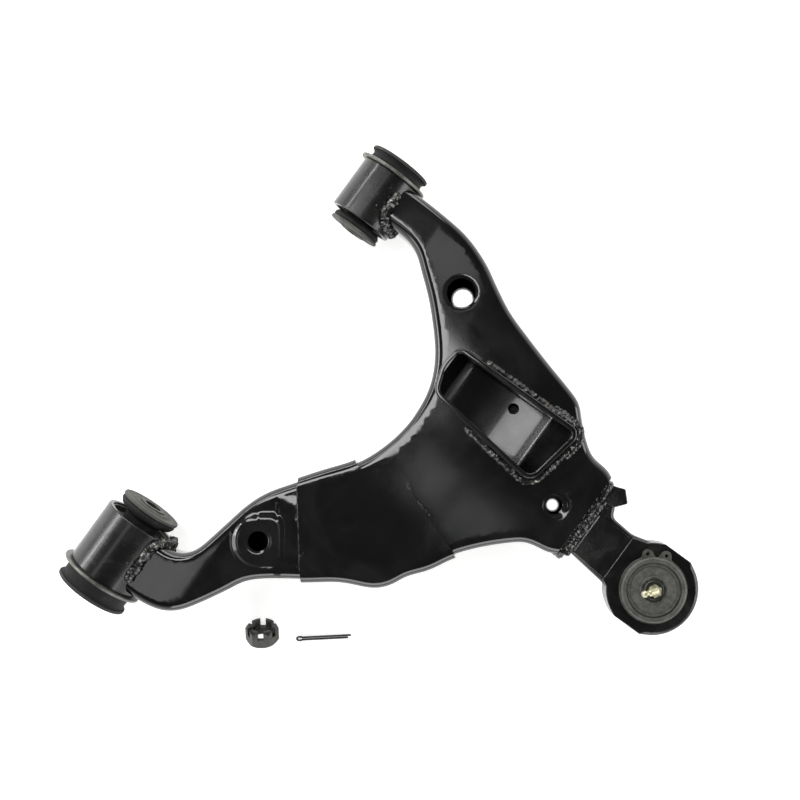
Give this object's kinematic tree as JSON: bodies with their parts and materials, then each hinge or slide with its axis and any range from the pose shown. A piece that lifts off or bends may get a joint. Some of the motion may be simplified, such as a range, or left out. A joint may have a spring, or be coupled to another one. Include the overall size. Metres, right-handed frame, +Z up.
{
  "type": "control arm",
  "caption": "A-shaped lower suspension control arm: hollow pressed arm with rubber pivot bushes, a damper bracket and a ball joint, with its castle nut and cotter pin.",
  "frame": {"origin": "centre of the ball stud's end face, with the arm lying on the stud's end and the bush flanges", "axes": "+X outboard from the pivot axis to the ball joint, +Y along the pivot axis from the front bush to the rear bush, +Z up along the ball stud"},
  "size_m": [0.4833, 0.4864, 0.1111],
  "materials": {
    "black_coat": "gloss black electro-coat on pressed and forged steel",
    "tube_coat": "satin black electro-coat on the bush tubes",
    "weld": "black electro-coat over rippled weld bead",
    "rubber": "dusty matt grey-black rubber",
    "bare_steel": "turned steel, lightly oiled",
    "dark_steel": "dark phosphated steel",
    "seat_polymer": "moulded acetal",
    "yellow_zinc": "pale yellow zinc plate"
  },
  "bodies": {
    "arm": {"upper_shell": "black_coat", "lower_shell": "black_coat", "reinforcement_plate": "black_coat", "shock_bracket": "black_coat", "shock_saddle": "black_coat", "shock_bracket_weld": "weld", "front_bush_tube": "tube_coat", "front_bush_outer_sleeve": "bare_steel", "front_bush_rubber": "rubber", "rear_bush_tube": "tube_coat", "rear_bush_outer_sleeve": "bare_steel", "rear_bush_rubber": "rubber", "front_tube_weld": "weld", "rear_tube_weld": "weld", "ball_joint_carrier": "black_coat", "carrier_weld": "weld", "steering_stop": "black_coat", "ball_joint_housing": "dark_steel", "lower_bearing_seat": "seat_polymer", "upper_bearing_seat": "seat_polymer", "spring_washer": "dark_steel", "cover_plate": "dark_steel", "snap_ring": "dark_steel", "grease_nipple": "yellow_zinc", "boot_upper_clip": "dark_steel"},
    "front_bush_core": {"front_bush_inner_sleeve": "bare_steel", "front_bush_outer_washer": "dark_steel", "front_bush_inner_washer": "dark_steel"},
    "rear_bush_core": {"rear_bush_inner_sleeve": "bare_steel", "rear_bush_outer_washer": "dark_steel", "rear_bush_inner_washer": "dark_steel"},
    "boot": {"dust_boot": "rubber"},
    "boot_neck": {"boot_neck_clip": "dark_steel"},
    "stud": {"ball_stud": "bare_steel"},
    "nut": {"castle_nut": "dark_steel"},
    "pin": {"cotter_pin": "dark_steel"}
  },
  "joints": [
    {"name": "front_bush_twist", "type": "hinge", "parent": "arm", "child": "front_bush_core", "pos_m": [-0.4028, -0.2549, 0.0395], "axis": [0, 1, 0], "range_deg": [-25, 25], "stiffness_Nm_per_rad": 60},
    {"name": "rear_bush_twist", "type": "hinge", "parent": "arm", "child": "rear_bush_core", "pos_m": [-0.4028, 0.1397, 0.0395], "axis": [0, 1, 0], "range_deg": [-25, 25], "stiffness_Nm_per_rad": 45},
    {"name": "ball_joint_camber_tilt", "type": "hinge", "parent": "arm", "child": "boot", "pos_m": [0, 0, 0.074], "axis": [0, 1, 0], "range_deg": [-20, 20], "deforming": ["dust_boot"]},
    {"name": "ball_joint_caster_tilt", "type": "hinge", "parent": "boot", "child": "boot_neck", "pos_m": [0, 0, 0.074], "axis": [1, 0, 0], "range_deg": [-15, 15]},
    {"name": "ball_joint_steer", "type": "hinge", "parent": "boot_neck", "child": "stud", "pos_m": [0, 0, 0.074], "axis": [0, 0, 1], "continuous": true},
    {"name": "nut_lift", "type": "slide", "parent": "arm", "child": "nut", "axis": [0, 0, 1], "range_m": [0, 0.05]},
    {"name": "pin_lift", "type": "slide", "parent": "arm", "child": "pin", "axis": [0, 0, 1], "range_m": [0, 0.05]}
  ]
}
